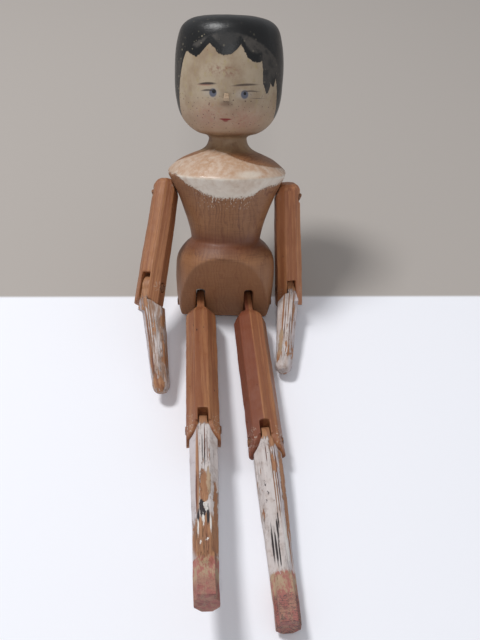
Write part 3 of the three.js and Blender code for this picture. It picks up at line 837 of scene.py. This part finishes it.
height = n.math("MULTIPLY_ADD", n.math("MULTIPLY", grain["Height"], bare), 0.35, paint_height)
height = n.math("MULTIPLY_ADD", brush, 0.35, height)
grit = n.noise(local, 2.4, 3.0, 0.6)
height = n.math("MULTIPLY_ADD", n.math("MULTIPLY", grit, n.math("MAXIMUM", yoke, hair_mask)), 0.5, height)
height = n.math("MULTIPLY_ADD", n.math("MULTIPLY", lathe_lines, bare), 0.5, height)
bump(n, shader, height, 0.7, 0.00022)
print("body material:", len(n.tree.nodes), "nodes")

# %% Seat the body
seat_piece(body, TORSO, "torso", "head_torso", body_paint, 0.56, 0.3, 9.0, 2)

# %% [markdown]
# ### The nose
# A sliver of wood, thick at the nostrils, is pushed into the mortise and painted with the face.

# %% Carve the nose
nose = box_tool(-NOSE_WIDE / 2, NOSE_WIDE / 2, -HEAD_R - GAP - NOSE_OUT, -HEAD_R + 3, nose_base, nose_top)
slope = math.degrees(math.atan2(NOSE_OUT, NOSE_TALL - 1.1 - BRIDGE_DROP))
bridge_cut = move(0, -HEAD_R - GAP, nose_top - BRIDGE_DROP) @ turn("X", -slope)
cut_away(nose, box_tool(-4, 4, -9, 0, -12, 4, bridge_cut))
for flank in (-1, 1):
    flank_cut = move(flank * NOSE_WIDE / 2, 0, nose_base) @ turn("Y", -flank * 8)
    cut_away(nose, box_tool(*sorted((0, flank * 4)), -30, 0, -2, 9, flank_cut))
face_round = turned("face_tool", [(0.05, NOSE_Z - 20), (HEAD_R + 0.25, NOSE_Z - 20),
                                  (HEAD_R + 0.25, NOSE_Z + 20), (0.05, NOSE_Z + 20)], 96)
cut_away(nose, face_round)
join_on(nose, box_tool(-0.5, 0.5, -HEAD_R - 0.6, -HEAD_R + 4, nose_base + 0.95, nose_top - 2.45))
place(nose, move(NOSE_X, 0, 0))
nose_paint, n, local, shader = start_material("nose_paint", TO_TORSO)
wear = n.noise(local, 1.2, 3.0, 0.6)
n.feed(shader.inputs["Base Color"], n.mix(n.step(wear, 0.4, 0.7), rgb(166, 143, 118), rgb(142, 118, 94)))
n.feed(shader.inputs["Roughness"], n.step(wear, 0.3, 0.7, 0.28, 0.5))
bump(n, shader, wear, 0.4, 0.0001)
nose.name = "let_in_nose"
seat_piece(nose, TORSO, "torso", "nose_wedge", nose_paint, 0.1, 0.03, 2.0, 3)

# %% [markdown]
# ## Limbs
# Arms and legs are pared with a knife from square stock, so they keep eight soft faces and small wobbles.
# The end nearer the hand or foot is a fork; its cheeks stop in an inverted V. The next piece has a flat
# tongue between pared shoulders, which swings in the fork on its peg.


# %% Fork, tongue and clearing cuts
def cheek_space(reach, half, grow):
    flat = SLOT_W / 2
    inner, outer = (r + grow for r in reach)
    shape = turned(
        "cheek_space",
        [(0.05, -half), (outer, -half), (inner, -flat), (inner, flat), (outer, half), (0.05, half)],
        48,
    )
    return place(shape, turn("Y", 90))


def fork(bar, width, reach, tip):
    room = join_on(box_tool(-20, 20, -20, 20, 0, 200), cheek_space(reach, width, 0))
    keep_inside(bar, room)
    cut_away(bar, box_tool(-SLOT_W / 2, SLOT_W / 2, -20, 20, -20, tip + TIP_CLEAR))
    return cut_away(bar, round_bar(PEG_R + GAP, -20, 20))


def tongue(tip, depth, length):
    blade = box_tool(-TONGUE_T / 2, TONGUE_T / 2, -depth / 2, depth / 2, -length, 0)
    return join_on(blade, round_bar(tip, -TONGUE_T / 2, TONGUE_T / 2, sides=40))


def cleared(limb, half_deep, fold, steps=6):
    """Pare away what the fork's back or front would meet as the limb folds."""
    for i in range(steps + 1):
        swing = turn("X", fold * i / steps)
        cut_away(limb, box_tool(-20, 20, -half_deep - GAP, half_deep + GAP, -0.3, 80, swing))
    return limb


print("limb cuts ready")

# %% [markdown]
# ### Pine for limbs and white paint for hands and shins
# Each limb gets its own copy of a material, because the grain must follow that limb. The bare limbs are
# redder and more varied than the turning; the lower limbs carry worn white paint, and the feet are red.


# %% Bare limb material
def scaled(color, share):
    return tuple(c * share for c in color[:3]) + (1.0,)


def bare_limb(name, to_piece, seed, tone, fork_z, peg_marks=(), dark_side=0, share=1.0):
    material, n, local, shader = start_material(name, to_piece)
    own = n.stretch(local, (1, 1, 1), shift=(0, 0, seed * 31.0))
    split = n.tree.nodes.new("ShaderNodeSeparateXYZ")
    n.feed(split.inputs[0], local)
    across, deep, along = split.outputs
    grain = use_group(
        n, "pine_grain", Vector=own, Pith_X=-30.0 + seed * 20, Pith_Y=24.0, Ring=1.6, Wander=3.0,
        Early=scaled(rgb(180, 122, 80), share), Late=scaled(rgb(126, 68, 42), share),
        Stain=scaled(rgb(126, 74, 48), share), Contrast=0.95,
    )
    band = n.noise(n.stretch(own, (0.42, 0.42, 0.015)), 1.0, 3.0, 0.6)
    color = n.mix(n.step(band, 0.42, 0.62, 0.0, 0.75), grain["Color"], scaled(tone, share))
    if dark_side:
        # One side of the limb is painted darker and redder.
        darker_side_mask = n.step(n.math("MULTIPLY", across, dark_side), 0.1, 0.5)
        color = n.mix(n.math("MULTIPLY", darker_side_mask, 0.85), color, rgb(118, 60, 40))
    pores = use_group(n, "specks", Vector=n.stretch(own, (1, 1, 0.4)), Spacing=1.9, Size=0.3, Share=0.75)[0]
    color = n.mix(n.math("MULTIPLY", pores, 0.75), color, rgb(58, 32, 24))
    cut_end = n.step(n.math("MULTIPLY_ADD", band, 3.0, along), fork_z + 1.2, fork_z)
    color = n.mix(n.math("MULTIPLY", cut_end, 0.6), color, rgb(142, 92, 78))
    flakes = n.step(n.noise(own, 1.3, 5.0, 0.75), 0.56, 0.6)
    for mark_z, reach in peg_marks:
        near = n.step(n.math("ABSOLUTE", n.math("SUBTRACT", along, mark_z)), reach, reach * 0.4)
        side_only = n.step(n.math("ABSOLUTE", across), 3.0, 4.2)
        spot = n.math("MULTIPLY", n.math("MULTIPLY", near, side_only), flakes)
        color = n.mix(n.math("MULTIPLY", spot, 0.85 if reach > 5 else 0.5), color, rgb(204, 190, 176))
    n.feed(shader.inputs["Base Color"], color)
    n.feed(shader.inputs["Roughness"], n.step(grain["Patch"], 0.3, 0.7, 0.4, 0.6))
    bump(n, shader, n.math("MULTIPLY_ADD", pores, -1.2, grain["Height"]), 0.8, 0.00025)
    return material


# %% Painted limb material
# Each mark is (kind, across, along, half width, half length) in the limb's own millimetres, on its upper side.
MARK_COLOR = {
    "tan": rgb(172, 146, 120), "crack": rgb(40, 30, 32), "white": rgb(226, 220, 214),
    "wood": rgb(150, 104, 72), "cream": rgb(188, 160, 134), "rust": rgb(112, 66, 50),
}


def painted_limb(
    name, to_piece, seed, amount, tongue_z, marks, shoe_from=None, shoe_dark=0.0, soiled=0.1,
):
    material, n, local, shader = start_material(name, to_piece)
    own = n.stretch(local, (1, 1, 1), shift=(0, 0, seed * 17.0))
    split = n.tree.nodes.new("ShaderNodeSeparateXYZ")
    n.feed(split.inputs[0], local)
    across, deep, along = split.outputs
    grain = use_group(
        n, "pine_grain", Vector=own, Pith_X=19.0, Pith_Y=18.0, Ring=1.6, Wander=1.6,
        Early=rgb(170, 122, 86), Late=rgb(122, 70, 46), Stain=rgb(110, 68, 46), Contrast=0.8,
    )
    worn = use_group(n, "worn_paint", Vector=own, Amount=amount, Slivers=0.75, Seed=seed * 5.0)
    shake = n.noise(n.stretch(own, (1.1, 1.1, 0.35)), 1.0, 5.0, 0.7)
    shake_wide = n.math("MULTIPLY", n.math("SUBTRACT", shake, 0.5), 3.0)
    ragged_across = n.math("ADD", across, shake_wide)
    ragged_along = n.math("MULTIPLY_ADD", shake_wide, 3.0, along)
    upper = n.step(deep, 1.4, 0.6)
    white = n.mix(worn["Dirt"], rgb(206, 197, 194), rgb(184, 170, 164))
    grime = n.step(n.noise(n.stretch(own, (0.5, 0.5, 0.09), shift=(3, 0, 0)), 1.0, 4.0, 0.65), 0.36, 0.62)
    white = n.mix(n.math("MULTIPLY", grime, soiled), white, rgb(140, 104, 78))
    lilac = n.step(across, 1.2, 2.6)
    white = n.mix(n.math("MULTIPLY", lilac, 0.4), white, rgb(186, 178, 186))
    on_wood = n.step(n.math("MULTIPLY_ADD", shake_wide, 2.2, along), tongue_z - 0.6, tongue_z + 0.6)
    paint_left = n.math("MULTIPLY", worn["Paint"], n.math("SUBTRACT", 1.0, on_wood))
    color = n.mix(paint_left, grain["Color"], white)
    lost = 0.0
    for kind, at_x, at_z, half_wide, half_long in marks:
        thin = half_wide < 0.6
        spot = use_group(
            n, "brush_dab", Across=across if thin else ragged_across, Up=ragged_along, At_X=at_x, At_Z=at_z,
            Half_Wide=half_wide, Half_High=half_long, Soft=0.35 if thin else 0.15,
        )[0]
        spot = n.math("MULTIPLY", spot, upper)
        if kind == "bare":
            color = n.mix(spot, color, grain["Color"])
        else:
            color = n.mix(spot, color, MARK_COLOR[kind])
        if kind != "white":
            lost = n.math("MAXIMUM", lost, spot)
    crack = n.math("MULTIPLY", worn["Crack"], n.math("MULTIPLY", paint_left, 0.7))
    color = n.mix(crack, color, rgb(74, 54, 46))
    pricks = use_group(n, "specks", Vector=own, Spacing=1.5, Size=0.22, Share=0.6)[0]
    color = n.mix(n.math("MULTIPLY", pricks, 0.6), color, rgb(66, 48, 42))
    if shoe_from is not None:
        wavy = n.math("MULTIPLY_ADD", shake_wide, 1.6, along)
        shoe = n.step(wavy, shoe_from + 0.5, shoe_from - 0.3)
        red_wear = n.step(n.noise(n.stretch(own, (0.45, 0.45, 0.2)), 1.0, 5.0, 0.7), 0.44, 0.54)
        red = n.mix(red_wear, rgb(162, 94, 80), rgb(170, 140, 110))
        toe = n.step(n.math("MULTIPLY_ADD", shake_wide, 1.5, along), shoe_from - 6.0, shoe_from - 9.0)
        red = n.mix(n.math("MULTIPLY", toe, 0.55), red, rgb(146, 70, 62))
        splits = n.noise(n.stretch(own, (0.5, 0.5, 1.6), turn_by=(0.4, 0.5, 0.3)), 1.0, 3.0, 0.6)
        split_line = n.step(n.math("ABSOLUTE", n.math("SUBTRACT", splits, 0.5)), 0.035, 0.012)
        red = n.mix(n.math("MULTIPLY", n.math("MULTIPLY", split_line, toe), shoe_dark), red, rgb(36, 24, 24))
        color = n.mix(n.math("MULTIPLY", shoe, 0.92), color, red)
    n.feed(shader.inputs["Base Color"], color)
    n.feed(shader.inputs["Roughness"], n.step(paint_left, 0.0, 1.0, 0.48, 0.6))
    left = n.math("SUBTRACT", paint_left, lost, clamp=True)
    height = n.math("MULTIPLY_ADD", grain["Height"], 0.4, n.math("MULTIPLY", left, 0.8))
    height = n.math("MULTIPLY_ADD", crack, -0.9, height)
    bump(n, shader, height, 0.9, 0.00028)
    return material


# %% Peg material
def peg_wood(name, to_piece, seed):
    material, n, local, shader = start_material(name, to_piece)
    own = n.stretch(local, (1, 1, 1), shift=(seed, 0, 0))
    fibres = n.noise(n.stretch(own, (0.2, 3.0, 3.0)), 1.0, 3.0, 0.6)
    grime = n.noise(own, 0.9, 3.0, 0.6)
    color = n.mix(n.step(fibres, 0.35, 0.65), rgb(150, 100, 64), rgb(92, 54, 34))
    color = n.mix(n.step(grime, 0.5, 0.7, 0.0, 0.7), color, rgb(52, 34, 26))
    n.feed(shader.inputs["Base Color"], color)
    n.feed(shader.inputs["Roughness"], n.step(grime, 0.3, 0.7, 0.5, 0.75))
    bump(n, shader, fibres, 0.7, 0.0002)
    return material


print("limb finishes ready")


# %% [markdown]
# ### Carve the arms, legs and pegs
# The left and right sides differ only in lengths and the pose, so each piece is a function of its side.
# A side's matrix mirrors the right-hand pieces, and the knife marks keep the two from matching exactly.


# %% Peg
def make_peg(side, joint, matrix, inner, outer, body):
    node = f"{side}_{joint}_peg"
    peg = turned(node, [(0.05, inner), (PEG_R * 0.8, inner), (PEG_R * 0.97, inner + 0.5),
                        (PEG_R * 0.99, outer - 0.5), (PEG_R * 0.86, outer - 0.1), (0.05, outer)], 20)
    place(peg, turn("Y", 90))
    whole = side_frame(side) @ matrix
    finish = peg_wood(node + "_wood", whole.inverted(), hash_seed(node))
    peg.name = node + "_piece"
    return seat_piece(peg, whole, body, node, finish, 0.18, 0.12, 1.2)


def hash_seed(text):
    return sum(ord(c) * (i + 1) for i, c in enumerate(text)) % 97 / 10


# %% Upper arm
def make_upper_arm(side):
    node = f"{side}_upper_arm"
    end = ARM_LENGTH + ARM_TOP
    bar = whittled(node, [
        (ARM_W * 1.04, -12, 0, 0), (ARM_W * 1.05, -4, 0, 0), (ARM_W * 1.03, 10, 0.1, 0.1),
        (ARM_W * 1.0, 24, -0.1, 0.1), (ARM_W * 0.97, ARM_LENGTH - 6), (ARM_W * 0.96, end - 2.4),
        (ARM_W * 0.84, end - 1.0), (ARM_W * 0.6, end),
    ])
    fork(bar, ARM_W, ELBOW_FORK, ELBOW_TIP_R)
    along = move(ARM_OFF_FLAT, 0, 0) @ turn("Y", -ARM_TILT) @ move(0, 0, -ARM_LENGTH) @ turn("Z", ELBOW_TURN)
    place(bar, along)
    cut_away(bar, box_tool(-30, GAP, -40, 40, -90, 40))
    cut_away(bar, round_bar(PEG_R + GAP, -30, 30))
    whole = side_frame(side) @ arm_frame(side)
    along_grain = (whole @ along).inverted()
    finish = bare_limb(node + "_pine", along_grain, hash_seed(node) * 0.3, rgb(150, 92, 58),
                       -7.0, ((0, 2.6), (ARM_LENGTH, 3.4)), share={"left": 1.2, "right": 0.86}[side])
    bar.name = node + "_piece"
    return seat_piece(bar, whole, node, node, finish, 0.27, 0.3, 6.0)


# %% Forearm and hand
FOREARM_MARKS = {
    "right": [
        ("wood", 1.7, -15, 0.34, 13), ("wood", 0.5, -14, 0.2, 12), ("wood", -0.5, -18, 0.18, 13),
        ("rust", 1.2, -21, 0.16, 9), ("wood", 1.5, -31, 0.8, 7), ("rust", 0.9, -33, 0.3, 5),
        ("wood", -1.7, -10, 0.14, 7),
    ],
    "left": [
        ("wood", 2.2, -16, 0.3, 12), ("wood", -1.8, -17, 0.34, 14), ("wood", 0.3, -12, 0.18, 9),
        ("rust", -0.8, -22, 0.14, 10), ("rust", 1.2, -26, 0.14, 9), ("tan", -2.0, -32, 0.7, 7),
    ],
}


def make_forearm(side):
    node = f"{side}_forearm"
    wrist = -FOREARM_LENGTH + 3
    bar = whittled(node, [
        (WRIST_W * 0.6, -FOREARM_LENGTH), (WRIST_W * 0.86, -FOREARM_LENGTH + 1.1), (WRIST_W, wrist),
        (WRIST_W * 1.06, wrist + 9, 0.1, 0.1), (WRIST_W * 1.17, wrist + 20, 0.0, 0.1), (FOREARM_W, -2),
    ])
    place(bar, turn("Y", FOREARM_SKEW[side]))
    cut_away(bar, cheek_space(ELBOW_FORK, ARM_W, GAP))
    cleared(bar, ARM_W / 2, ELBOW_SWEEP, 9)
    join_on(bar, tongue(ELBOW_TIP_R, 2 * ELBOW_TIP_R - 0.8, ELBOW_FORK[1] + 2.4))
    cut_away(bar, round_bar(PEG_R + GAP, -20, 20))
    whole = side_frame(side) @ forearm_frame(side)
    own_axis = (whole @ turn("Y", FOREARM_SKEW[side])).inverted()
    finish = painted_limb(node + "_paint", own_axis, hash_seed(node), 0.6, -5.0, FOREARM_MARKS[side],
                          soiled={"left": 0.35, "right": 0.9}[side])
    bar.name = node + "_piece"
    return seat_piece(bar, whole, node, node, finish, 0.25, 0.3, 5.0)


# %% Thigh
def make_thigh(side):
    node = f"{side}_thigh"
    length = THIGH_LENGTH[side]
    roll = 22.5 if side == "left" else 0
    bar = whittled(node, [
        (THIGH_W, -12, 0, 0), (THIGH_W * 0.99, -4, 0, 0), (THIGH_W * 0.98, 16, 0.1, 0), (THIGH_W, 36, 0, 0.1),
        (THIGH_W, length - 14), (THIGH_W * 0.9, length - 11.8), (THIGH_W * 0.66, length - 9.2),
        (SLOT_W + 1.2, length - HIP_PARE_END),
    ], roll)
    fork(bar, THIGH_W, KNEE_FORK, KNEE_TIP_R)
    place(bar, move(0, 0, -length))
    for flex in range(-8, 98, 8):
        swing = turn("X", flex)
        cut_away(bar, box_tool(-20, 20, -3.4, 6.5, -5.9, 12, swing))
        front_face = swing @ move(0, -FRONT_FLAT_HEM + 1 - GAP - 0.1, -5.6) @ turn("X", front_slope)
        cut_away(bar, box_tool(-20, 20, 0, 30, 0, 40, front_face))
    join_on(bar, tongue(HIP_TIP_R, THIGH_W - 2.4, 16))
    cut_away(bar, round_bar(PEG_R + GAP, -20, 20))
    whole = side_frame(side) @ thigh_frame(side)
    dark_side = -1 if side == "left" else 0
    finish = bare_limb(node + "_pine", whole.inverted(), hash_seed(node) * 0.4, rgb(144, 84, 54),
                       -length - 7.5, ((-length, 6.0),), dark_side, 0.8 if side == "right" else 0.86)
    bar.name = node + "_piece"
    return seat_piece(bar, whole, node, node, finish, 0.29, 0.35, 7.0)


# %% Lower leg and foot
SHIN_MARKS = {
    "right": [
        ("bare", 2.3, -22, 0.55, 20), ("bare", 0.2, -30, 1.5, 8), ("tan", -1.5, -27, 0.7, 6), ("bare", -0.2, -49, 4.6, 9.5),
        ("rust", 2.7, -31, 0.3, 8), ("crack", 0.8, -38, 0.9, 3.4), ("crack", -1.0, -41, 0.5, 3.6),
        ("crack", 2.2, -41, 0.4, 3.0), ("white", -0.4, -37, 0.7, 1.5), ("white", 0.6, -42, 0.45, 2.0),
        ("white", 2.3, -45, 0.3, 3.0), ("white", -1.8, -44, 0.3, 3.2), ("white", -0.6, -49.5, 0.55, 0.6),
        ("white", 1.5, -50, 0.3, 0.9), ("rust", -0.4, -9, 0.16, 7), ("crack", 0.5, -12, 0.14, 6),
        ("rust", -1.2, -12, 0.14, 6), ("crack", -0.2, -16, 0.12, 5), ("wood", -3.6, -40, 0.7, 14),
    ],
    "left": [
        ("wood", 0.7, -17, 0.18, 15), ("wood", 1.5, -19, 0.16, 16), ("rust", 2.2, -16, 0.16, 14),
        ("bare", 4.0, -22, 0.8, 19), ("wood", 3.4, -40, 0.2, 12), ("crack", -2.2, -43, 0.3, 6.5),
        ("crack", -1.2, -44.5, 0.35, 6), ("crack", -0.1, -37.5, 0.32, 4.0), ("crack", 0.5, -35, 0.2, 3.0),
        ("crack", -0.3, -46, 0.22, 5), ("rust", -0.9, -8, 0.14, 4.5), ("crack", -2.4, -20, 0.3, 0.5),
        ("crack", -1.8, -24, 0.35, 0.4), ("crack", -2.6, -27, 0.25, 0.4), ("white", 2.4, -42, 0.5, 8),
        ("bare", 1.6, -1.6, 1.6, 3.4),
    ],
}


def make_lower_leg(side):
    node = f"{side}_lower_leg"
    sole = -SHIN_LENGTH[side]
    bar = whittled(node, [
        (ANKLE_W, sole), (ANKLE_W * 1.02, sole + 8, 0.1, 0), (ANKLE_W * 1.06, sole + 26, 0, 0.1),
        (SHIN_W * 0.95, -22), (SHIN_W, -1),
    ])
    toe = box_tool(-ANKLE_W * 0.36, ANKLE_W * 0.36, -ANKLE_W / 2 - 1.5, 1, sole, sole + 16)
    cut_away(toe, box_tool(-9, 9, -9, 0, 0, 30, move(0, -ANKLE_W / 2 - 1.4, sole + 2.5) @ turn("X", -7)))
    join_on(bar, toe)
    cut_away(bar, cheek_space(KNEE_FORK, THIGH_W, GAP))
    cleared(bar, THIGH_W / 2, KNEE_SWEEP, 9)
    join_on(bar, tongue(KNEE_TIP_R, 2 * KNEE_TIP_R - 2.0, 11))
    cut_away(bar, round_bar(PEG_R + GAP, -20, 20))
    whole = side_frame(side) @ knee_frame(side)
    dark = 0.9 if side == "left" else 0.35
    finish = painted_limb(node + "_paint", whole.inverted(), hash_seed(node), 0.66, -1.5,
                          SHIN_MARKS[side], -56 if side == "right" else -52.5, dark)
    bar.name = node + "_piece"
    return seat_piece(bar, whole, node, node, finish, 0.27, 0.3, 6.0)


# %% Make both sides
for side in ("right", "left"):
    make_upper_arm(side)
    make_forearm(side)
    make_thigh(side)
    make_lower_leg(side)
    outer = ARM_OFF_FLAT + ARM_W / 2 / math.cos(math.radians(ARM_TILT)) + PEG_PROUD
    make_peg(side, "shoulder", shoulder_frame(), -8, outer, "torso")
    make_peg(side, "elbow", elbow_frame(side), -ARM_W / 2 - PEG_PROUD, ARM_W / 2 + PEG_PROUD, f"{side}_upper_arm")
    make_peg(side, "hip", hip_frame(side), -6.2, HIP_PEG_REACH - HIP_PEG[side][0] + PEG_PROUD, "torso")
    knee_at = thigh_frame(side) @ move(0, 0, -THIGH_LENGTH[side])
    make_peg(side, "knee", knee_at, -THIGH_W / 2 - PEG_PROUD, THIGH_W / 2 + PEG_PROUD, f"{side}_thigh")

# %% [markdown]
# ## Floor and light
# Two pale sheets carry the doll: a white one under its legs, a warm grey one behind it. One soft lamp high
# on the left draws the shadows to the right, a weak one in front gives the gloss, and a pale sky fills in.

# %% Floor
set_down()
bpy.ops.mesh.primitive_plane_add(size=6)
floor = bpy.context.object
floor.name = "pale_sheet"
sheet_paper = bpy.data.materials.new("pale_sheet")
sheet_paper.use_nodes = True
paper = sheet_paper.node_tree.nodes["Principled BSDF"]
sheets = Nodes(sheet_paper.node_tree)
where_on_floor = sheets.tree.nodes.new("ShaderNodeSeparateXYZ")
sheets.feed(where_on_floor.inputs[0], sheets.add("ShaderNodeTexCoord", out=3))
across_edge = sheets.math("MULTIPLY_ADD", where_on_floor.outputs[0], -0.042, where_on_floor.outputs[1])
behind = sheets.step(across_edge, 0.0, 0.002)
sheets.feed(paper.inputs["Base Color"], sheets.mix(behind, rgb(247, 248, 254), rgb(178, 171, 165)))
paper.inputs["Roughness"].default_value = 0.9
floor.data.materials.append(sheet_paper)
print("floor laid")


# %% Lamps and sky
def soft_lamp(name, at, toward, size, power):
    lamp = bpy.data.lights.new(name, "AREA")
    lamp.size = size
    lamp.energy = power
    holder = bpy.data.objects.new(name, lamp)
    bpy.context.scene.collection.objects.link(holder)
    holder.location = at
    holder.rotation_euler = (Vector(toward) - Vector(at)).to_track_quat("-Z", "Y").to_euler()
    return holder


MIDDLE = (0, -0.03, 0.04)
soft_lamp("window_key", (-0.42, 0.1, 1.0), MIDDLE, 0.22, 6.8)
soft_lamp("room_fill", (0.03, -1.0, 1.04), MIDDLE, 0.14, 2.1)
sky = bpy.data.worlds.new("pale_room")
bpy.context.scene.world = sky
sky.use_nodes = True
sky.node_tree.nodes["Background"].inputs[0].default_value = rgb(232, 234, 238)
sky.node_tree.nodes["Background"].inputs[1].default_value = 0.47
bpy.context.scene.view_settings.view_transform = "Standard"
print("lit")
